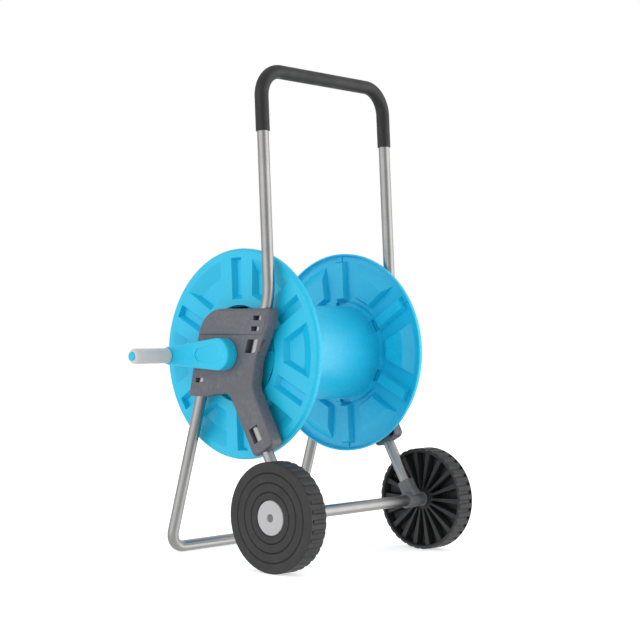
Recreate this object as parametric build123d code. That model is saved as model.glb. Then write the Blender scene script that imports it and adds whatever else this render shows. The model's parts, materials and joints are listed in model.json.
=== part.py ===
"""Garden hose reel cart: tube frame, two side plates, spinning reel with crank, two wheels."""
import os
from math import atan2, cos, degrees, hypot, radians, sin, tan

from build123d import *

# All sizes are in millimetres. X points towards the wheels, Z points up.
# The crank is on the -Y side and the water inlet is on the +Y side.
# Shapes are drawn about the reel axis (X = 0, Y = 0) and moved to the row's origin at export.

# Row origin: centre of the bounding box, on the ground
origin_x = 27.23
origin_y = -32.83

# Frame tubes
tube_r = 10.0
tube_wall = 1.2
frame_y = 160.0
socket_gap = 0.05

# Push handle
handle_top_x = 69.2
handle_top_z = 835.0
handle_corner_r = 47.0
handle_bend_x = 89.7
handle_bend_z = 453.9
handle_bend_r = 110.0
handle_end_x = 55.2
handle_end_z = 342.0
grip_sleeve_r = 11.9
grip_sleeve_end_z = 730.0

# Ground stand
stand_x = -151.65
stand_corner_r = 32.0
stand_top_x = -59.1
stand_top_z = 325.0

# Axle, struts and brackets
axle_x = 144.5
axle_z = 91.0
axle_r = 10.0
axle_half = 206.0
strut_angle = 30.0
strut_start = 17.0
strut_end = 196.0
bracket_sleeve_r = 12.5
bracket_sleeve_in = 136.0
bracket_sleeve_mid = 162.0
bracket_sleeve_out = 184.0
bracket_block = 24.5
bracket_foot = 33.0
bracket_socket_len = 37.0
bracket_screw_at = 28.0

# Wheels
wheel_r = 91.0
wheel_in = 177.4
wheel_out = 215.35
wheel_bore_r = 10.06
wheel_floor = 203.0
wheel_floor_rim = 195.0
wheel_rim_r = 84.0
blade_count = 18
lug_count = 36
scallop_r = 5.0
scallop_depth = 2.3
sidewall_groove_r = (73.0, 57.2, 42.0)
cap_r = 28.7
dimple_r = 6.5
push_nut_r = 15.0

# Side plates
plate_in = 150.0
plate_out = 173.5
plate_band_out = 175.6
plate_wall = 3.0
plate_edge_r = 3.6
plate_band_z = 387.0

# Reel
reel_x = 0.8
reel_z = 354.7
reel_turn = 3.0
flange_r = 181.4
rim_in = 130.5
web_out = 140.5
web_t = 2.6
rim_curl = 4.9
pocket_floor = 129.5
recess_r = 82.5
recess_floor = 134.0
ring_r = 92.0
slit_r = 78.8
hub_boss = 120.0
drum_r = 85.0
drum_wall = 3.0
drum_end = 131.9
journal_r = 14.95
bush_bore_r = 15.0
bush_r = 19.0

# Crank
crank_turn = 2.0
crank_len = 120.0
crank_hub_r = 27.5
crank_end_r = 16.0
crank_in = 174.5
crank_arm_in = 176.3
crank_wall = 3.0
crank_out = 197.0
crank_pin_r = 5.0
grip_r = 13.3
grip_in = 197.5
grip_out = 278.5
pin_head_r = 7.4
pin_head_out = 281.0
drive_out = 190.0
panel_slope = 0.022

# Water path
bore_r = 5.5
nipple_r = 8.0
inlet_y = 192.0
outlet_y = 96.0


def side(a):
    """Drawing plane at distance a from the middle, on the crank side, with X and Z as its axes."""
    return Plane.XZ.offset(a)


def slab(sketch, a0, a1):
    """Extrude an X-Z sketch between two distances from the middle, on the crank side."""
    return extrude(side(a0) * sketch, amount=a1 - a0)


def turned(points, x, z):
    """Solid of revolution about an axis along Y: points are (radius, distance from the middle)."""
    face = make_face(Polyline([(r, -a) for r, a in points], close=True))
    return Pos(x, 0, z) * revolve(face, Axis.Y)


def disc(x, z, r, a0, a1):
    """Round slab on the crank side."""
    return slab(Pos(x, z) * Circle(r), a0, a1)


def other_side(shape):
    """The same shape on the inlet side."""
    return mirror(shape, about=Plane.XZ)


def about_reel(shape, angle):
    """Turn a shape about the reel axis; positive is counter-clockwise seen from the crank side."""
    return Pos(reel_x, 0, reel_z) * Rot(0, -angle, 0) * Pos(-reel_x, 0, -reel_z) * shape


def rounded_edges(points, radii, close=False):
    """Straight lines joined by arcs. Each corner has its own radius."""
    pts = [Vector(*p) for p in points]
    n = len(pts)
    cuts = []
    for i, here in enumerate(pts):
        r = radii[i]
        if r == 0 or (not close and i in (0, n - 1)):
            cuts.append((here, None, here))
            continue
        back = (pts[i - 1] - here).normalized()
        ahead = (pts[(i + 1) % n] - here).normalized()
        half = radians(back.get_angle(ahead)) / 2
        reach = r / tan(half)
        middle = (back + ahead).normalized()
        crown = here + middle * (r / sin(half) - r)
        cuts.append((here + back * reach, crown, here + ahead * reach))
    edges = []
    for i, (first, crown, last) in enumerate(cuts):
        if crown is not None:
            edges.append(ThreePointArc(first, crown, last))
        if i < n - 1 or close:
            nxt = cuts[(i + 1) % n][0]
            if (nxt - last).length > 1e-6:
                edges.append(Line(last, nxt))
    return edges


def swept(section, points, radii):
    """Sweep a round section along a bent path."""
    path = Wire(rounded_edges(points, radii))
    start = Plane(origin=path @ 0, z_dir=path % 0)
    return sweep(start * section, path=path)


def outline(corners):
    """Flat face from (x, z, corner radius) triples."""
    edges = rounded_edges([(x, z) for x, z, r in corners], [r for x, z, r in corners], close=True)
    return make_face(Wire(edges))


def strip(x0, z0, x1, z1, width):
    """Rectangle of a given width laid along a line."""
    angle = degrees(atan2(z1 - z0, x1 - x0))
    centre = Pos((x0 + x1) / 2, (z0 + z1) / 2)
    return centre * Rot(0, 0, angle) * Rectangle(hypot(x1 - x0, z1 - z0), width)


def rod(p, q, r):
    """Round bar between two points."""
    a = Vector(*p)
    b = Vector(*q)
    return extrude(Plane(origin=a, z_dir=b - a) * Circle(r), amount=(b - a).length)


def on_strut(distance):
    """Point on the strut's centre line, measured from the axle centre."""
    lean = radians(strut_angle)
    return (axle_x - distance * sin(lean), -frame_y, axle_z + distance * cos(lean))


tube_section = Circle(tube_r) - Circle(tube_r - tube_wall)

# ---------------------------------------------------------------- frame tubes

handle_points = [
    (handle_end_x, -frame_y, handle_end_z),
    (handle_bend_x, -frame_y, handle_bend_z),
    (handle_top_x, -frame_y, handle_top_z),
    (handle_top_x, frame_y, handle_top_z),
    (handle_bend_x, frame_y, handle_bend_z),
    (handle_end_x, frame_y, handle_end_z),
]
handle_radii = [0, handle_bend_r, handle_corner_r, handle_corner_r, handle_bend_r, 0]
handle_tube = swept(tube_section, handle_points, handle_radii)

lean = (handle_bend_x - handle_top_x) / (handle_top_z - handle_bend_z)
sleeve_x = handle_top_x + lean * (handle_top_z - grip_sleeve_end_z)
sleeve_points = [
    (sleeve_x, -frame_y, grip_sleeve_end_z),
    (handle_top_x, -frame_y, handle_top_z),
    (handle_top_x, frame_y, handle_top_z),
    (sleeve_x, frame_y, grip_sleeve_end_z),
]
sleeve_section = Circle(grip_sleeve_r) - Circle(tube_r + 0.02)
handle_grip = swept(sleeve_section, sleeve_points, [0, handle_corner_r, handle_corner_r, 0])

stand_points = [
    (stand_top_x, -frame_y, stand_top_z),
    (stand_x, -frame_y, tube_r),
    (stand_x, frame_y, tube_r),
    (stand_top_x, frame_y, stand_top_z),
]
stand_tube = swept(tube_section, stand_points, [0, stand_corner_r, stand_corner_r, 0])

strut_low = on_strut(strut_start)
strut_high = on_strut(strut_end)
strut_tube = rod(strut_low, strut_high, tube_r) - rod(strut_low, strut_high, tube_r - tube_wall)

axle_line = ((axle_x, -axle_half, axle_z), (axle_x, axle_half, axle_z))
axle_tube = rod(*axle_line, axle_r) - rod(*axle_line, axle_r - 1.5)

# ---------------------------------------------------------------- axle bracket: a T-shaped socket

sleeve_step_r = bracket_sleeve_r - 0.9
bracket = turned(
    [
        (axle_r + socket_gap, bracket_sleeve_in),
        (bracket_sleeve_r + 1.2, bracket_sleeve_in),
        (bracket_sleeve_r + 1.2, bracket_sleeve_mid),
        (sleeve_step_r, bracket_sleeve_mid + 1),
        (sleeve_step_r, bracket_sleeve_mid + 8),
        (sleeve_step_r + 0.7, bracket_sleeve_mid + 8),
        (sleeve_step_r + 0.7, bracket_sleeve_mid + 10),
        (sleeve_step_r, bracket_sleeve_mid + 10),
        (sleeve_step_r, bracket_sleeve_out - 2.4),
        (sleeve_step_r + 1.2, bracket_sleeve_out - 2),
        (sleeve_step_r + 1.2, bracket_sleeve_out),
        (axle_r + socket_gap, bracket_sleeve_out),
    ],
    axle_x,
    axle_z,
)


def across_strut(distance):
    """Plane square to the strut, with its local Y along the axle."""
    lean = radians(strut_angle)
    across = (cos(lean), 0, sin(lean))
    along = (-sin(lean), 0, cos(lean))
    return Plane(origin=on_strut(distance), x_dir=across, z_dir=along)


block_foot = across_strut(3) * RectangleRounded(bracket_foot, bracket_block, 6)
block_waist = across_strut(19) * RectangleRounded(bracket_block, bracket_block, 6)
block_top = across_strut(bracket_socket_len) * RectangleRounded(bracket_block, bracket_block, 6)
bracket += loft([block_foot, block_waist], ruled=True) + loft([block_waist, block_top], ruled=True)
bracket -= rod(on_strut(strut_start - 0.5), on_strut(bracket_socket_len + 1), tube_r + socket_gap)
bracket -= rod((axle_x, -130, axle_z), (axle_x, -190, axle_z), axle_r + socket_gap)

# ---------------------------------------------------------------- side plate: ribbed shell

plate_corners = [
    (-57.3, 432, 56),
    (102, 432, 6),
    (97, 402, 22),
    (69, 345, 45),
    (62, 300, 22),
    (112.5, 206, 10),
    (67.5, 181, 10),
    (8, 287, 14),
    (-22, 286, 30),
    (-47, 281, 20),
    (-91, 281, 4),
]
plate_face = outline(plate_corners)
plate_inside = offset(plate_face, amount=-plate_wall, kind=Kind.INTERSECTION)
plate_body = slab(plate_face, plate_in, plate_out)
plate_body = fillet(plate_body.faces().sort_by(Axis.Y)[0].edges(), plate_edge_r)
above_band = Pos(0, plate_band_z + 50) * Rectangle(400, 100)
band_face = offset(plate_face, amount=1 - plate_edge_r, kind=Kind.INTERSECTION) & above_band
band = extrude(side(plate_out - 0.5) * band_face, amount=plate_band_out - plate_out + 0.5, taper=40)

hollow = slab(plate_inside, plate_in - 1, plate_out - plate_wall)
handle_line = (handle_end_x - 2.5, handle_end_z - 8, handle_bend_x, handle_bend_z)
stand_line = (stand_top_x + 2.3, stand_top_z + 8, stand_x, tube_r)
strut_line = (on_strut(strut_end + 8)[0], on_strut(strut_end + 8)[2], axle_x, axle_z)
keep = slab(strip(*handle_line, 34), plate_in, plate_out)
keep += slab(strip(*stand_line, 30), plate_in, plate_out)
keep += slab(strip(*strut_line, 30), plate_in, plate_out)
keep += disc(reel_x, reel_z, 27, plate_in, plate_out)
for rib in (
    (-80, 300, 30, 300),
    (-70, 405, 95, 405),
    (-60, 300, 0, 354),
    (0, 354, 70, 405),
    (0, 354, -60, 415),
    (0, 354, 50, 280),
    (10, 354, 75, 354),
    (-75, 354, 10, 354),
    (0, 290, 0, 432),
):
    keep += slab(strip(*rib, 2.4), plate_in + 3, plate_out)
hollow -= keep
side_plate = plate_body - hollow + band

# Bearing bore for the reel
side_plate -= disc(reel_x, reel_z, bush_r + 0.01, plate_in - 1, plate_band_out + 1)

# Sockets for the three tubes
socket_r = tube_r + socket_gap
side_plate -= swept(Circle(socket_r), handle_points[:3], [0, handle_bend_r, 0])
side_plate -= rod(stand_points[0], stand_points[1], socket_r)
side_plate -= rod(on_strut(80), on_strut(strut_end + 0.5), socket_r)

# Windows that show the tubes
windows = Pos(77, 416) * Rectangle(18, 8)
windows += Pos(72, 398) * Rectangle(18, 8)
windows += Pos(-63.5, 309) * Rectangle(19, 8)
windows += make_face(Polyline((46, 357), (70, 357), (77, 380), (53, 380), close=True))
windows += strip(78.5, 209.5, 65, 233, 21)
side_plate -= slab(windows, frame_y - 6, plate_band_out + 1)
side_window = make_face(Polyline((60, 357), (95, 357), (102, 380), (67, 380), close=True))
side_plate -= slab(side_window, frame_y + 4, plate_out - 2.2)

# Bevel along the front edge of the lower arm
bevel_plane = Plane(
    origin=(88.0, -plate_out, 246.0),
    x_dir=(62 - 112.5, 0, 300 - 206),
    z_dir=(0.42, -0.88, 0.225),
)
bevel = extrude(bevel_plane * Rectangle(300, 60), amount=20)
bevel &= slab(Pos(110, 225) * Rectangle(120, 142), plate_in, plate_out + 5)
side_plate -= bevel

# Bearing bush with a collar
bearing_bush = turned(
    [
        (bush_bore_r, plate_in - 1.8),
        (bush_r + 4, plate_in - 1.8),
        (bush_r + 4, plate_in),
        (bush_r, plate_in),
        (bush_r, plate_out + 0.4),
        (bush_bore_r, plate_out + 0.4),
    ],
    reel_x,
    reel_z,
)

# ---------------------------------------------------------------- screws


def pan_screw(x, z, head_at, tip_at, thread_r=1.9, head_r=4.0):
    """Pan-head screw along Y. Its head is at the smaller distance from the middle."""
    screw = disc(x, z, thread_r, head_at, tip_at)
    head = disc(x, z, head_r, head_at - 2.4, head_at)
    head = fillet(head.faces().sort_by(Axis.Y)[-1].edges(), 1.4)
    slots = slab(Rectangle(5.0, 1.1) + Rectangle(1.1, 5.0), head_at - 3, head_at - 1.2)
    return screw + head - Pos(x, 0, z) * slots


screw_spots = [
    (handle_end_x + 7.4, handle_end_z + 24),
    (handle_end_x + 25.9, handle_end_z + 84),
    (stand_top_x - 8.8, stand_top_z - 30),
    (on_strut(165)[0], on_strut(165)[2]),
]
plate_screws_crank = Compound(children=[pan_screw(x, z, plate_in, 154.0) for x, z in screw_spots])
for x, z in screw_spots:
    side_plate -= disc(x, z, 1.9, plate_in - 1, 154.5)
screw_holes = Compound(children=[disc(x, z, 1.95, 140, 158) for x, z in screw_spots])
handle_tube -= screw_holes
handle_tube -= other_side(screw_holes)
stand_tube -= screw_holes
stand_tube -= other_side(screw_holes)
strut_tube -= screw_holes

bracket_spot = on_strut(bracket_screw_at)
block_face = frame_y + bracket_block / 2
inboard_screw = pan_screw(bracket_spot[0], bracket_spot[2], 2 * frame_y - block_face, 153.5)
bracket_screw = Pos(0, -2 * frame_y, 0) * mirror(inboard_screw, about=Plane.XZ)
bracket_hole = disc(bracket_spot[0], bracket_spot[2], 1.95, 162, 180)
bracket -= disc(bracket_spot[0], bracket_spot[2], 1.9, 162, 180)
strut_tube -= bracket_hole

# ---------------------------------------------------------------- wheel

shoulder = [(0, 2.6), (0.8, 0.8), (2.6, 0)]
wheel_section = [
    (wheel_bore_r, 186.0),
    (20, 186.0),
    (22, 188.0),
    (24, wheel_floor),
    (wheel_rim_r - 2, wheel_floor_rim),
    (wheel_rim_r, wheel_in + 1.5),
    (wheel_rim_r + 1.5, wheel_in),
]
wheel_section += [(wheel_r - inset, wheel_in + rise) for inset, rise in reversed(shoulder)]
wheel_section += [(wheel_r - inset, wheel_out - rise) for inset, rise in shoulder]
for r in sidewall_groove_r:
    wheel_section += [(r + 1.5, wheel_out), (r, wheel_out - 1.5), (r - 1.5, wheel_out)]
wheel_section += [
    (cap_r + 3.0, wheel_out),
    (cap_r + 0.6, wheel_out - 1.6),
    (cap_r + 0.6, wheel_out - 6),
    (20, wheel_out - 6),
    (20, wheel_out - 11),
    (wheel_bore_r, wheel_out - 11),
]
wheel = turned(wheel_section, axle_x, axle_z)


def about_axle(shape, angle):
    """Turn a shape about the axle."""
    return Pos(axle_x, 0, axle_z) * Rot(0, -angle, 0) * shape


def blade_outline(inner_half, outer_half, a):
    """Tapered outline of one blade between the hub and the rim."""
    lower = ((20, -inner_half), (wheel_rim_r + 1, -outer_half))
    upper = ((wheel_rim_r + 1, outer_half), (20, inner_half))
    return side(a) * make_face(Polyline(*lower, *upper, close=True))


blade_root = blade_outline(2.8, 7.6, wheel_floor + 0.5)
blade_edge = blade_outline(1.6, 4.6, wheel_in + 5)
blade = loft([blade_root, blade_edge], ruled=True)
for i in range(blade_count):
    wheel += about_axle(blade, i * 360 / blade_count)
wheel -= disc(axle_x, axle_z, 19.5, wheel_in, 186.0)

# Tread: scallops that stop short of the outer shoulder, each with a deeper notch at its end
scallop = disc(wheel_r + scallop_r - scallop_depth, 0, scallop_r, wheel_in - 1, wheel_out - 4)
notch = slab(Pos(wheel_r, 0) * Rectangle(7.0, 4.6), wheel_out - 8.5, wheel_out - 4)
tread_cuts = []
for i in range(lug_count):
    angle = i * 360 / lug_count
    tread_cuts.append(about_axle(scallop, angle))
    tread_cuts.append(about_axle(notch, angle))
wheel = wheel - tread_cuts

hub_cap = turned(
    [
        (0, wheel_out - 3.0),
        (dimple_r - 0.5, wheel_out - 3.0),
        (dimple_r, wheel_out - 2.4),
        (dimple_r + 0.6, wheel_out - 0.5),
        (cap_r - 4, wheel_out - 0.2),
        (cap_r - 1, wheel_out - 0.8),
        (cap_r, wheel_out - 2.0),
        (cap_r, wheel_out - 5.9),
        (19.9, wheel_out - 5.9),
        (19.9, wheel_out - 9),
        (17.5, wheel_out - 9),
        (17.5, wheel_out - 5),
        (0, wheel_out - 5),
    ],
    axle_x,
    axle_z,
)

push_nut = turned(
    [
        (axle_r + 0.02, 204.5),
        (push_nut_r, 204.5),
        (push_nut_r, 205.5),
        (axle_r + 1.5, 205.9),
        (axle_r + 0.02, 205.9),
    ],
    axle_x,
    axle_z,
)

# ---------------------------------------------------------------- reel flange


def wedge(inner_r, outer_r, inner_half, outer_half, a):
    """Outline of a wide pocket: straight sides that open outwards and a curved outer edge."""
    inner_end = (inner_r**2 - inner_half**2) ** 0.5
    outer_end = (outer_r**2 - outer_half**2) ** 0.5
    corners = [(inner_end, -inner_half), (outer_end, -outer_half)]
    corners += [(outer_end, outer_half), (inner_end, inner_half)]
    inner = Line(corners[3], corners[0])
    first = Line(corners[0], corners[1])
    outer = ThreePointArc(corners[1], (outer_r, 0), corners[2])
    last = Line(corners[2], corners[3])
    return side(a) * make_face(Wire([inner, first, outer, last]))


def slot_outline(inner_r, outer_r, half, a):
    """Straight radial slot."""
    return side(a) * Pos((inner_r + outer_r) / 2, 0) * Rectangle(outer_r - inner_r, 2 * half)


skin_floor = pocket_floor - 2.4
wedge_cut = loft(
    [wedge(104, 165.5, 18.5, 46.5, web_out + 0.01), wedge(110, 142.5, 15.5, 31.5, pocket_floor)],
    ruled=True,
)
wedge_skin = loft(
    [wedge(101, 168.5, 21.0, 49.0, web_out - 0.4), wedge(107.6, 143.8, 17.5, 33.2, skin_floor)],
    ruled=True,
)
slot_cut = loft(
    [slot_outline(94, 166, 12, web_out + 0.01), slot_outline(101, 162, 6.5, pocket_floor + 1)],
    ruled=True,
)
slot_skin = loft(
    [slot_outline(91.6, 168.5, 14.4, web_out - 0.4), slot_outline(98.8, 164, 8.6, skin_floor + 1)],
    ruled=True,
)
flange = turned(
    [
        (journal_r + 0.02, hub_boss),
        (18, hub_boss),
        (18, recess_floor - web_t),
        (recess_r - 3.5, recess_floor - web_t),
        (recess_r - 3.5, 124.0),
        (drum_r - drum_wall - 0.2, 124.0),
        (drum_r - drum_wall - 0.2, drum_end + 0.1),
        (ring_r, drum_end + 0.1),
        (ring_r + 2.5, web_out - web_t),
        (flange_r - rim_curl - 1.2, web_out - web_t),
        (flange_r - web_t, web_out - rim_curl - 1.2),
        (flange_r - web_t, rim_in - 1),
        (flange_r, rim_in - 1),
        (flange_r, web_out - rim_curl),
        (flange_r - 1.8, web_out - 1.8),
        (flange_r - rim_curl, web_out),
        (recess_r + 1.5, web_out),
        (recess_r - 2.0, recess_floor),
        (journal_r + 0.02, recess_floor),
    ],
    0,
    0,
)
ring_pocket = slab(Pos(89.2, 0) * Rectangle(5.8, 24), drum_end - 1, web_out - 3)
slit = slab(Pos(slit_r, 0) * Rectangle(5.4, 38), 122, web_out + 1)
tick = slab(Pos(172, 0) * Rectangle(11, 3), web_out - web_t - 2, web_out - web_t + 0.5)
cup_rib = slab(Pos(49, 0) * Rectangle(56, 2.4), recess_floor - 0.5, recess_floor + 4)
for k in range(6):
    flange += Rot(0, -60 * k, 0) * wedge_skin
    flange += Rot(0, -60 * k - 30, 0) * slot_skin
    flange += Rot(0, -60 * k - 30, 0) * tick
    flange += Rot(0, -60 * k, 0) * cup_rib
cuts = []
for k in range(6):
    cuts.append(Rot(0, -60 * k, 0) * wedge_cut)
    cuts.append(Rot(0, -60 * k - 30, 0) * slot_cut)
    cuts.append(Rot(0, -60 * k - 30, 0) * ring_pocket)
    cuts.append(Rot(0, -60 * k - 30, 0) * slit)
flange = flange - cuts
flange_crank = about_reel(Pos(reel_x, 0, reel_z) * flange, reel_turn)
flange_inlet = other_side(flange_crank)

# ---------------------------------------------------------------- drum

drum = turned(
    [
        (drum_r - drum_wall, -drum_end),
        (drum_r, -drum_end),
        (drum_r, drum_end),
        (drum_r - drum_wall, drum_end),
    ],
    reel_x,
    reel_z,
)
tab_step = slab(Pos(reel_x + drum_r + 8.7, reel_z) * Rectangle(20, 26), drum_end - 19, drum_end + 1)
for k in range(6):
    drum -= about_reel(tab_step, 60 * k + 30 + reel_turn)
    drum -= other_side(about_reel(tab_step, 60 * k + 30 + reel_turn))

# ---------------------------------------------------------------- journals

journal_crank = disc(reel_x, reel_z, journal_r, hub_boss, 174.0)
journal_crank += disc(reel_x, reel_z, 20.0, recess_floor + 0.05, recess_floor + 4)
drive_square = Rot(0, 0, 45) * Rectangle(20, 20)
journal_crank += slab(Pos(reel_x, reel_z) * drive_square, 174.0, drive_out) & disc(
    reel_x, reel_z, 13.5, 174.0, drive_out
)
journal_crank -= disc(reel_x, reel_z, 10.0, hub_boss - 1, 165.0)

journal_inlet = turned(
    [
        (bore_r, -hub_boss),
        (journal_r, -hub_boss),
        (journal_r, -(recess_floor + 0.05)),
        (20, -(recess_floor + 0.05)),
        (20, -(recess_floor + 4)),
        (journal_r, -(recess_floor + 4)),
        (journal_r, -177.0),
        (11.0, -177.0),
        (11.0, -182.0),
        (9.4, -182.0),
        (9.4, -184.2),
        (11.0, -184.2),
        (11.0, -189.0),
        (10.0, -190.0),
        (bore_r, -190.0),
    ],
    reel_x,
    reel_z,
)

# ---------------------------------------------------------------- water path

inlet_elbow = turned(
    [
        (11.06, -178.6),
        (15.0, -178.6),
        (15.0, -205.0),
        (13.0, -207.0),
        (0, -207.0),
        (0, -204.0),
        (9.5, -204.0),
        (9.5, -191.0),
        (11.06, -191.0),
    ],
    reel_x,
    reel_z,
)
inlet_top = (reel_x, inlet_y, reel_z - 12)
inlet_collar = (reel_x, inlet_y, reel_z - 28)
inlet_tip = (reel_x, inlet_y, reel_z - 60)
inlet_elbow += rod(inlet_top, inlet_collar, 11.5)
inlet_elbow += rod((reel_x, inlet_y, reel_z - 26), (reel_x, inlet_y, reel_z - 31), 13.5)
inlet_elbow += rod(inlet_collar, inlet_tip, nipple_r)
inlet_elbow -= rod((reel_x, inlet_y, reel_z), (reel_x, inlet_y, reel_z - 61), 5.0)

inlet_o_ring = Pos(reel_x, 183.1, reel_z) * Rot(90, 0, 0) * Torus(10.21, 0.8)

tube_start = (reel_x, hub_boss + 12, reel_z)
tube_corner = (reel_x, outlet_y, reel_z)
tube_finish = (reel_x - drum_r + 16, outlet_y, reel_z)
water_tube = swept(Circle(bore_r - 0.05) - Circle(3.8), [tube_start, tube_corner, tube_finish], [0, 12, 0])

elbow_x = reel_x - 97
elbow = (elbow_x, outlet_y, reel_z)
elbow_r = 11.0
elbow_bore_r = 4.0
outlet_connector = rod((reel_x - 60, outlet_y, reel_z), elbow, elbow_r)
outlet_connector += Pos(*elbow) * Sphere(elbow_r)
outlet_connector += rod(elbow, (elbow_x, outlet_y, reel_z - 16), elbow_r)
outlet_connector += rod((elbow_x, outlet_y, reel_z - 14), (elbow_x, outlet_y, reel_z - 42), nipple_r)
outlet_connector -= rod((reel_x - 59, outlet_y, reel_z), (reel_x - 75, outlet_y, reel_z), bore_r)
outlet_connector -= rod((reel_x - 74, outlet_y, reel_z), (elbow_x - 3, outlet_y, reel_z), elbow_bore_r)
outlet_connector -= rod(elbow, (elbow_x, outlet_y, reel_z - 43), elbow_bore_r)
drum -= rod((reel_x - 60, outlet_y, reel_z), (reel_x - 110, outlet_y, reel_z), elbow_r + 0.05)

# ---------------------------------------------------------------- crank

tilt = radians(crank_turn)
crank_tip_x = reel_x - crank_len * cos(tilt)
crank_tip_z = reel_z - crank_len * sin(tilt)


def crank_outline(hub_at, hub_r, end_at, end_r):
    """Tapered bar with round ends, laid along the crank."""
    hub = Pos(-hub_at, 0) * Circle(hub_r)
    end = Pos(-end_at, 0) * Circle(end_r)
    return Pos(reel_x, reel_z) * Rot(0, 0, crank_turn) * make_hull(hub.edges() + end.edges())


# The arm passes over the raised band of the side plate; only the hub reaches in to the flat face
crank_arm = slab(crank_outline(0, crank_hub_r, crank_len, crank_end_r), crank_arm_in, crank_out)
crank_arm = fillet(crank_arm.faces().sort_by(Axis.Y)[0].edges(), 3.6)
crank_arm += disc(reel_x, reel_z, crank_hub_r, crank_in, crank_arm_in + 1)
crank_inner = crank_outline(0, crank_hub_r - crank_wall, crank_len, crank_end_r - crank_wall)
crank_hollow = slab(crank_inner, crank_in - 1, crank_out - 4)
crank_hollow -= disc(reel_x, reel_z, 20, crank_in - 2, crank_out)
crank_hollow -= disc(crank_tip_x, crank_tip_z, 11, crank_in - 2, crank_out)
crank_hollow -= slab(Pos(reel_x - 60, reel_z - 2) * Rectangle(120, 2.2), crank_in + 2, crank_out)
crank_arm -= crank_hollow

# Shallow panel in the outer face: deepest at its end away from the hub, flush beside the hub
panel = slab(crank_outline(2, 17.5, 40, 11.5), crank_out - 3, crank_out + 1)
panel_tilt = Plane(
    origin=(reel_x + 6, -crank_out, reel_z),
    x_dir=(-1, panel_slope, 0),
    z_dir=(-panel_slope, -1, 0),
)
crank_arm -= panel & extrude(panel_tilt * Rectangle(200, 80), amount=8)
hole_square = Rot(0, 0, 45) * Rectangle(20.1, 20.1)
square_hole = slab(Pos(reel_x, reel_z) * hole_square, crank_in - 1, drive_out + 0.2)
square_hole &= disc(reel_x, reel_z, 13.55, crank_in - 2, drive_out + 0.2)
crank_arm -= square_hole
crank_arm -= disc(crank_tip_x, crank_tip_z, crank_pin_r + 0.02, crank_in - 1, crank_out + 1)

crank_pin = disc(crank_tip_x, crank_tip_z, crank_pin_r, crank_arm_in, 278.0)
crank_pin += disc(crank_tip_x, crank_tip_z, pin_head_r, 277.4, pin_head_out)
crank_pin = fillet(crank_pin.faces().sort_by(Axis.Y)[0].edges(), 0.8)

crank_grip = turned(
    [
        (crank_pin_r + 0.06, grip_in),
        (grip_r - 1.2, grip_in),
        (grip_r, grip_in + 1.2),
        (grip_r, grip_out - 7),
        (grip_r - 0.7, grip_out - 3.6),
        (grip_r - 2.4, grip_out - 1.2),
        (pin_head_r + 2, grip_out),
        (pin_head_r + 0.3, grip_out),
        (pin_head_r + 0.3, 277.0),
        (crank_pin_r + 0.06, 277.0),
    ],
    crank_tip_x,
    crank_tip_z,
)

# ---------------------------------------------------------------- export

parts = {
    "handle_tube": handle_tube,
    "handle_grip": handle_grip,
    "stand_tube": stand_tube,
    "strut_tube_crank": strut_tube,
    "strut_tube_inlet": other_side(strut_tube),
    "axle_tube": axle_tube,
    "axle_bracket_crank": bracket,
    "axle_bracket_inlet": other_side(bracket),
    "side_plate_crank": side_plate,
    "side_plate_inlet": other_side(side_plate),
    "bearing_bush_crank": bearing_bush,
    "bearing_bush_inlet": other_side(bearing_bush),
    "plate_screws_crank": plate_screws_crank,
    "plate_screws_inlet": other_side(plate_screws_crank),
    "bracket_screws": Compound(children=[bracket_screw, other_side(bracket_screw)]),
    "push_nut_crank": push_nut,
    "push_nut_inlet": other_side(push_nut),
    "wheel_crank": wheel,
    "wheel_inlet": other_side(wheel),
    "hub_cap_crank": hub_cap,
    "hub_cap_inlet": other_side(hub_cap),
    "flange_crank": flange_crank,
    "flange_inlet": flange_inlet,
    "drum": drum,
    "journal_crank": journal_crank,
    "journal_inlet": journal_inlet,
    "water_tube": water_tube,
    "outlet_connector": outlet_connector,
    "inlet_elbow": inlet_elbow,
    "inlet_o_ring": inlet_o_ring,
    "crank_arm": crank_arm,
    "crank_pin": crank_pin,
    "crank_grip": crank_grip,
}

os.makedirs("parts", exist_ok=True)
for name, shape in parts.items():
    export_step(Pos(-origin_x, -origin_y, 0) * shape, f"parts/{name}.step")
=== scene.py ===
"""Looks of the garden hose reel cart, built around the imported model."""

import json
from math import cos, pi, radians, sin

import bpy
from mathutils import Matrix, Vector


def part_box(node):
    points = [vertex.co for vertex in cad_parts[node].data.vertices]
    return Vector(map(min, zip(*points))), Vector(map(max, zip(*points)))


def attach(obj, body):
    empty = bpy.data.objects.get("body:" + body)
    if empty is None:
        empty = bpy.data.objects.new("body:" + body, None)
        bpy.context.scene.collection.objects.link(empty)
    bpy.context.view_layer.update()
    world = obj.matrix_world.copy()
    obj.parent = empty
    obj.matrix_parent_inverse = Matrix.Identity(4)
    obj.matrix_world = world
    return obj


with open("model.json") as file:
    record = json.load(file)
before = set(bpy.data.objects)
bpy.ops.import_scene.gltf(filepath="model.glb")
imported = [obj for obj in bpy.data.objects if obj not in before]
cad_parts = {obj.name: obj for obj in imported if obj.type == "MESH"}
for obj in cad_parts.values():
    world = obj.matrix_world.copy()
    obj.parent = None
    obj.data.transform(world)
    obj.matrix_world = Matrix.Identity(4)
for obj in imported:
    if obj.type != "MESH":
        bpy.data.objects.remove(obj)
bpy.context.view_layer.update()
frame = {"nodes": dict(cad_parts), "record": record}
nodes = frame["nodes"]

MM = 0.001
WHITE = (1.0, 1.0, 1.0, 1.0)


# ---------------------------------------------------------------- node material helpers

# The Mix node repeats its socket names for each data type, so its colour sockets go by number
MIX_COLOUR_A = 6
MIX_COLOUR_B = 7
MIX_COLOUR_RESULT = 2


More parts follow.
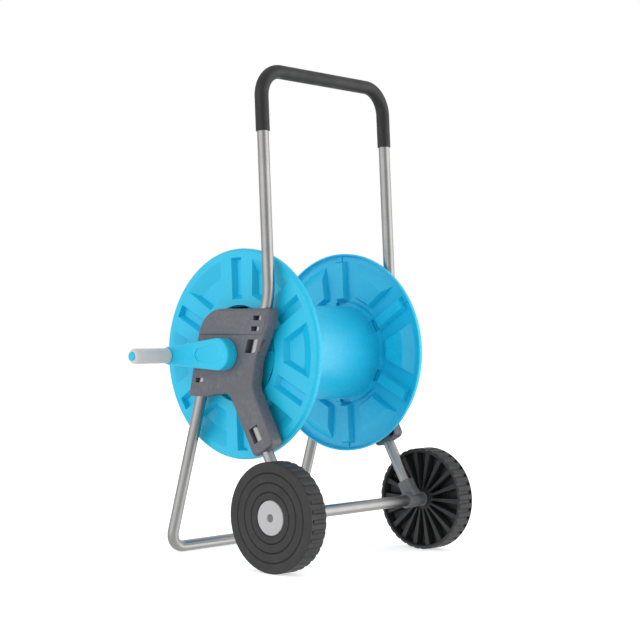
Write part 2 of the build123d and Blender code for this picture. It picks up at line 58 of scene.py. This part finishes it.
class Recipe:
    """A material under construction: a principled shader with helpers for its textures."""

    def __init__(self, name, **values):
        self.material = bpy.data.materials.new(name)
        self.material.use_nodes = True
        self.tree = self.material.node_tree
        self.shader = self.tree.nodes["Principled BSDF"]
        for socket, value in values.items():
            self.shader.inputs[socket.replace("_", " ")].default_value = value
        self.coords = self.tree.nodes.new("ShaderNodeTexCoord").outputs["Object"]
        self.last_bump = None

    def add(self, kind, **settings):
        node = self.tree.nodes.new(kind)
        for key, value in settings.items():
            setattr(node, key, value)
        return node

    def link(self, source, target):
        self.tree.links.new(source, target)

    def noise(self, scale, detail=4.0, rough=0.55, stretch=None):
        """Noise value in object space, with a pattern repeat of about 1/scale metres."""
        texture = self.add("ShaderNodeTexNoise")
        texture.inputs["Scale"].default_value = scale
        texture.inputs["Detail"].default_value = detail
        texture.inputs["Roughness"].default_value = rough
        source = self.coords
        if stretch:
            mapping = self.add("ShaderNodeMapping")
            mapping.inputs["Scale"].default_value = stretch
            self.link(source, mapping.inputs["Vector"])
            source = mapping.outputs["Vector"]
        self.link(source, texture.inputs["Vector"])
        return texture.outputs["Fac"]

    def cells(self, scale):
        """Distance to the nearest cell centre, for moulded grain."""
        texture = self.add("ShaderNodeTexVoronoi")
        texture.inputs["Scale"].default_value = scale
        self.link(self.coords, texture.inputs["Vector"])
        return texture.outputs["Distance"]

    def spread(self, value, low, high, start=0.35, end=0.65):
        """Remap a texture value to a range."""
        node = self.add("ShaderNodeMapRange")
        node.inputs["From Min"].default_value = start
        node.inputs["From Max"].default_value = end
        node.inputs["To Min"].default_value = low
        node.inputs["To Max"].default_value = high
        self.link(value, node.inputs["Value"])
        return node.outputs["Result"]

    def times(self, a, b):
        node = self.add("ShaderNodeMath", operation="MULTIPLY")
        self.link(a, node.inputs[0])
        self.link(b, node.inputs[1])
        return node.outputs["Value"]

    def edges(self, low=0.505, high=0.56):
        """High on outer edges and corners, where a part wears first."""
        geometry = self.add("ShaderNodeNewGeometry")
        return self.spread(geometry.outputs["Pointiness"], 0.0, 1.0, low, high)

    def mix(self, factor, first, second):
        """Blend of two colours; each is a value or a socket."""
        node = self.add("ShaderNodeMix", data_type="RGBA")
        self.link(factor, node.inputs["Factor"])
        for index, colour in ((MIX_COLOUR_A, first), (MIX_COLOUR_B, second)):
            if isinstance(colour, tuple):
                node.inputs[index].default_value = (*colour, 1.0)
            else:
                self.link(colour, node.inputs[index])
        return node.outputs[MIX_COLOUR_RESULT]

    def colour(self, source):
        self.link(source, self.shader.inputs["Base Color"])

    def roughness(self, source):
        self.link(source, self.shader.inputs["Roughness"])

    def bump(self, height, strength, distance):
        """Stack one more layer of relief."""
        node = self.add("ShaderNodeBump")
        node.inputs["Strength"].default_value = strength
        node.inputs["Distance"].default_value = distance
        self.link(height, node.inputs["Height"])
        if self.last_bump:
            self.link(self.last_bump, node.inputs["Normal"])
        self.last_bump = node.outputs["Normal"]
        self.link(self.last_bump, self.shader.inputs["Normal"])


def shade(colour, factor):
    """The same colour, lighter or darker."""
    return tuple(min(1.0, c * factor) for c in colour)


def moulded(name, colour, rough, grain=0.15, grain_size=900, wear=1.25, dust=0.0, gloss=0.5):
    """Moulded plastic: fine spark grain, faint clouding, scuffed edges and a little dust."""
    r = Recipe(name, Metallic=0.0, Roughness=rough, IOR=1.48, Specular_IOR_Level=gloss)
    clouds = r.noise(9.0, 5.0)
    tone = r.mix(r.spread(clouds, 0.0, 1.0), shade(colour, 0.975), shade(colour, 1.02))
    fine = r.noise(240.0, 6.0, 0.7)
    tone = r.mix(r.spread(fine, 0.0, 0.06, 0.45, 0.75), tone, shade(colour, 0.8))
    worn = r.times(r.edges(), r.spread(r.noise(160.0, 5.0), 0.0, 1.0, 0.42, 0.68))
    tone = r.mix(worn, tone, shade(colour, wear))
    if dust:
        specks = r.spread(r.noise(55.0, 8.0, 0.75), 0.0, dust, 0.5, 0.8)
        tone = r.mix(specks, tone, (0.32, 0.31, 0.295))
    r.colour(tone)
    r.roughness(r.spread(r.noise(34.0, 6.0, 0.65), rough - 0.05, rough + 0.07))
    r.bump(r.cells(grain_size), grain, 0.00012)
    r.bump(r.noise(70.0, 3.0), 0.05, 0.0006)
    return r.material


def make_tube_metal():
    """Bright zinc on drawn tube: faint clouds of spangle, fine scratches, a few dull specks."""
    r = Recipe("zinc_tube", Metallic=1.0, IOR=1.6)
    base = (0.325, 0.322, 0.318)
    clouds = r.spread(r.noise(26.0, 6.0, 0.6), 0.0, 1.0)
    tone = r.mix(clouds, shade(base, 0.94), shade(base, 1.05))
    specks = r.spread(r.noise(420.0, 3.0), 0.0, 0.35, 0.62, 0.74)
    tone = r.mix(specks, tone, (0.27, 0.267, 0.263))
    r.colour(tone)
    scratches = r.noise(700.0, 4.0, 0.8, stretch=(1.0, 1.0, 0.03))
    r.roughness(r.spread(scratches, 0.28, 0.40, 0.3, 0.7))
    r.bump(scratches, 0.05, 0.00005)
    r.bump(r.noise(45.0, 2.0), 0.03, 0.0004)
    return r.material


def make_steel():
    """Plated screw steel: fine uneven tone and a satin finish."""
    r = Recipe("screw_steel", Metallic=1.0, IOR=1.6)
    tone = r.mix(r.spread(r.noise(300.0), 0.0, 1.0), (0.52, 0.52, 0.53), (0.66, 0.65, 0.62))
    r.colour(tone)
    r.roughness(r.spread(r.noise(800.0), 0.25, 0.42))
    r.bump(r.noise(900.0), 0.08, 0.00005)
    return r.material


def make_sleeve():
    """Black foamed sleeve: dense pores, slightly lighter where hands rub it."""
    r = Recipe("black_sleeve", Metallic=0.0, IOR=1.45)
    base = (0.0125, 0.0125, 0.0128)
    tone = r.mix(r.spread(r.noise(14.0, 5.0), 0.0, 1.0), shade(base, 0.85), shade(base, 1.2))
    pores = r.spread(r.cells(900.0), 0.0, 0.5, 0.35, 0.05)
    tone = r.mix(pores, tone, shade(base, 0.5))
    r.colour(tone)
    r.roughness(r.spread(r.noise(40.0, 5.0), 0.42, 0.56))
    r.bump(r.cells(900.0), 0.18, 0.00015)
    r.bump(r.noise(220.0, 4.0), 0.10, 0.0002)
    return r.material


def make_rubber():
    """Black seal rubber, matt and nearly even."""
    r = Recipe("seal_rubber", Metallic=0.0, IOR=1.5)
    r.colour(r.mix(r.spread(r.noise(300.0), 0.0, 1.0), (0.018, 0.018, 0.018), (0.03, 0.03, 0.03)))
    r.roughness(r.spread(r.noise(500.0), 0.4, 0.55))
    r.bump(r.noise(900.0), 0.05, 0.0001)
    return r.material


BLUE = (0.0055, 0.503, 0.768)
PLATE_GREY = (0.109, 0.113, 0.130)
BRACKET_GREY = (0.138, 0.140, 0.145)
WHEEL_GREY = (0.0175, 0.0175, 0.0175)
CAP_GREY = (0.455, 0.455, 0.465)
GRIP_GREY = (0.63, 0.60, 0.59)
BUSH_WHITE = (0.72, 0.72, 0.68)
JOURNAL_GREY = (0.09, 0.09, 0.10)
TUBE_PVC = (0.5, 0.52, 0.5)
CONNECTOR_GREY = (0.09, 0.093, 0.1)

looks = {
    "frame_tube": make_tube_metal(),
    "soft_grip": make_sleeve(),
    "plate_plastic": moulded("plate_plastic", PLATE_GREY, 0.48, grain=0.22, dust=0.06),
    "bracket_plastic": moulded("bracket_plastic", BRACKET_GREY, 0.5, grain=0.2, dust=0.08),
    "bush_plastic": moulded("bush_plastic", BUSH_WHITE, 0.35, grain=0.05),
    "fastener_steel": make_steel(),
    "reel_plastic": moulded("reel_plastic", BLUE, 0.36, grain=0.06, wear=1.12, dust=0.02),
    "crank_plastic": moulded("crank_plastic", BLUE, 0.33, grain=0.08, wear=1.12),
    "journal_plastic": moulded("journal_plastic", JOURNAL_GREY, 0.4, grain=0.05),
    "seal_rubber": make_rubber(),
    "water_tube_pvc": moulded("water_tube_pvc", TUBE_PVC, 0.25, grain=0.03),
    "connector_plastic": moulded("connector_plastic", CONNECTOR_GREY, 0.42, grain=0.12),
    "crank_grip_plastic": moulded("crank_grip_plastic", GRIP_GREY, 0.45, grain=0.15, wear=1.1),
    "wheel_plastic": moulded("wheel_plastic", WHEEL_GREY, 0.57, grain=0.25, wear=1.5, dust=0.04),
    "hub_cap_plastic": moulded("hub_cap_plastic", CAP_GREY, 0.42, grain=0.1, wear=1.1),
}

# The drum is glossier than the flanges
drum_plastic = moulded("drum_plastic", BLUE, 0.4, grain=0.06, wear=1.1, gloss=0.95)

slot_of = {s["node"]: s["material_slot"] for s in frame["record"]["subparts"]}


def paint(piece, slot):
    """Give a piece the look of one of the record's material slots."""
    piece.data.materials.clear()
    piece.data.materials.append(looks[slot])


for name, node in nodes.items():
    paint(node, slot_of[name])
nodes["drum"].data.materials[0] = drum_plastic


# ---------------------------------------------------------------- softened edges

MOULDED_NODES = ("side_plate", "axle_bracket", "flange", "crank_arm", "wheel")
MOULDED_EDGE = 0.9 * MM
WELD_DISTANCE = 0.01 * MM
FLAT_ANGLE = radians(0.6)
EDGE_ANGLE = radians(32.0)
EDGE_SEGMENTS = 2


def soften(node):
    """Round the moulded edges of a CAD node, with modifiers only."""
    weld = node.modifiers.new("weld", "WELD")
    weld.merge_threshold = WELD_DISTANCE
    flat = node.modifiers.new("merge_flats", "DECIMATE")
    flat.decimate_type = "DISSOLVE"
    flat.angle_limit = FLAT_ANGLE
    bevel = node.modifiers.new("round_edges", "BEVEL")
    bevel.width = MOULDED_EDGE
    bevel.segments = EDGE_SEGMENTS
    bevel.limit_method = "ANGLE"
    bevel.angle_limit = EDGE_ANGLE
    bevel.use_clamp_overlap = True
    bevel.harden_normals = True
    normals = node.modifiers.new("normals", "WEIGHTED_NORMAL")
    normals.keep_sharp = True


# ---------------------------------------------------------------- painted shade in the hub cap dimples

DIMPLE_FLOOR = 2.8 * MM
SHADE_DISC_THICKNESS = 0.8 * MM
SHADE_DISC_SINK = 0.02 * MM
SHADE_DISC_EDGE = 0.25 * MM
SHADE_DISC_R = 6.0 * MM


def dimple_shade_disc(side_name, outward):
    """A dark disc on the floor of a hub cap's dimple: painted shade standing in for the shadow in the
    dimple.
    """
    low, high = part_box("hub_cap_" + side_name)
    face = high[1] if outward > 0 else low[1]
    middle = face - outward * (DIMPLE_FLOOR - SHADE_DISC_THICKNESS / 2 + SHADE_DISC_SINK)
    bpy.ops.mesh.primitive_cylinder_add(
        vertices=48,
        radius=SHADE_DISC_R,
        depth=SHADE_DISC_THICKNESS,
        location=((low[0] + high[0]) / 2, middle, (low[2] + high[2]) / 2),
        rotation=(pi / 2, 0, 0),
    )
    piece = bpy.context.object
    piece.name = "dimple_shade_disc_" + side_name
    edge = piece.modifiers.new("round_edges", "BEVEL")
    edge.width = SHADE_DISC_EDGE
    edge.segments = 2
    # The dark grey look on this disc is painted shade, not a part of the cap
    paint(piece, "bracket_plastic")
    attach(piece, "wheel_" + side_name + "_side")


# Painted shade: one dark disc in the dimple of each hub cap
dimple_shade_disc("crank", -1)
dimple_shade_disc("inlet", 1)


# ---------------------------------------------------------------- stage, light and camera


FLOOR_SIZE = 24.0
FLOOR_GLOW = 0.55


def make_floor():
    """A wide pale floor, lifted to white by a glow of its own and kept out of the cart's light."""
    bpy.ops.mesh.primitive_plane_add(size=FLOOR_SIZE, location=(0, 0, 0))
    floor = bpy.context.object
    floor.name = "floor"
    r = Recipe("pale_floor", Metallic=0.0, IOR=1.3)
    r.shader.inputs["Specular IOR Level"].default_value = 0.15
    r.colour(r.mix(r.spread(r.noise(1.5), 0.0, 1.0), (0.86, 0.86, 0.86), (0.88, 0.88, 0.88)))
    r.roughness(r.spread(r.noise(30.0), 0.8, 0.9))
    r.shader.inputs["Emission Color"].default_value = WHITE
    r.shader.inputs["Emission Strength"].default_value = FLOOR_GLOW
    floor.data.materials.append(r.material)
    floor.visible_glossy = False
    floor.visible_diffuse = False


# Angles in degrees, place in metres, lens and sensor in millimetres
CAMERA_YAW = 41.73
CAMERA_PITCH = 0.30
CAMERA_ROLL = 0.07
CAMERA_PLACE = (1.8634, -2.0184, 0.3990)
CAMERA_LENS = 87.89
CAMERA_SENSOR = 36.0


def make_camera():
    """A level camera on the crank side, towards the wheels."""
    data = bpy.data.cameras.new("camera")
    data.lens = CAMERA_LENS
    data.sensor_width = CAMERA_SENSOR
    data.dof.use_dof = False
    camera = bpy.data.objects.new("camera", data)
    bpy.context.scene.collection.objects.link(camera)
    camera.matrix_world = (
        Matrix.Translation(CAMERA_PLACE)
        @ Matrix.Rotation(radians(CAMERA_YAW), 4, "Z")
        @ Matrix.Rotation(radians(90 + CAMERA_PITCH), 4, "X")
        @ Matrix.Rotation(radians(CAMERA_ROLL), 4, "Z")
    )
    bpy.context.scene.camera = camera


def compass(azimuth, elevation):
    """Unit direction. Azimuth 0 points to the -Y side; positive goes towards +X."""
    a, e = radians(azimuth), radians(elevation)
    return (sin(a) * cos(e), -cos(a) * cos(e), sin(e))


# Soft panels of the studio: azimuth, elevation, bright core, soft edge (degrees), added brightness.
# Two bright ones light the crank side and the wheel side; the other two are darker stretches.
STUDIO_PANELS = (
    (-14, 6, 10, 52, 0.70),
    (122, 0, 16, 46, 1.30),
    (60, 2, 14, 44, -0.44),
    (-80, 5, 10, 60, -0.28),
)
STUDIO_LEVEL = 1.06
STUDIO_DARK_TOP = 0.25
STUDIO_DARK_BASE = 0.08
# Sine of the elevation where each darkening starts and where it is complete
DARK_TOP_SPAN = (0.15, 0.9)
DARK_BASE_SPAN = (0.4, 0.95)


def make_world():
    """A studio of soft panels all around the cart, on a white backdrop."""
    world = bpy.data.worlds.new("studio")
    world.use_nodes = True
    tree = world.node_tree

    def math(operation, a, b):
        node = tree.nodes.new("ShaderNodeMath")
        node.operation = operation
        for socket, value in zip(node.inputs, (a, b)):
            if isinstance(value, (int, float)):
                socket.default_value = value
            else:
                tree.links.new(value, socket)
        return node.outputs["Value"]

    def ramp(value, low, high, top):
        node = tree.nodes.new("ShaderNodeMapRange")
        node.interpolation_type = "SMOOTHSTEP"
        node.inputs["From Min"].default_value = low
        node.inputs["From Max"].default_value = high
        node.inputs["To Min"].default_value = 0.0
        node.inputs["To Max"].default_value = top
        tree.links.new(value, node.inputs["Value"])
        return node.outputs["Result"]

    direction = tree.nodes.new("ShaderNodeTexCoord").outputs["Generated"]
    height = tree.nodes.new("ShaderNodeSeparateXYZ")
    tree.links.new(direction, height.inputs["Vector"])
    depth = math("MULTIPLY", height.outputs["Z"], -1.0)
    level = math("SUBTRACT", STUDIO_LEVEL, ramp(height.outputs["Z"], *DARK_TOP_SPAN, STUDIO_DARK_TOP))
    level = math("SUBTRACT", level, ramp(depth, *DARK_BASE_SPAN, STUDIO_DARK_BASE))
    for azimuth, elevation, core, edge, strength in STUDIO_PANELS:
        facing = tree.nodes.new("ShaderNodeVectorMath")
        facing.operation = "DOT_PRODUCT"
        facing.inputs[1].default_value = compass(azimuth, elevation)
        tree.links.new(direction, facing.inputs[0])
        glow = ramp(facing.outputs["Value"], cos(radians(edge)), cos(radians(core)), strength)
        level = math("ADD", level, glow)

    studio = tree.nodes["Background"]
    tree.links.new(level, studio.inputs["Strength"])
    studio.inputs["Color"].default_value = WHITE
    backdrop = tree.nodes.new("ShaderNodeBackground")
    backdrop.inputs["Color"].default_value = WHITE
    paths = tree.nodes.new("ShaderNodeLightPath")
    choose = tree.nodes.new("ShaderNodeMixShader")
    tree.links.new(paths.outputs["Is Camera Ray"], choose.inputs["Fac"])
    tree.links.new(studio.outputs["Background"], choose.inputs[1])
    tree.links.new(backdrop.outputs["Background"], choose.inputs[2])
    tree.links.new(choose.outputs["Shader"], tree.nodes["World Output"].inputs["Surface"])
    bpy.context.scene.world = world


for name, node in nodes.items():
    if name.startswith(MOULDED_NODES):
        soften(node)

make_floor()
make_world()
make_camera()
bpy.context.scene.view_settings.view_transform = "Standard"
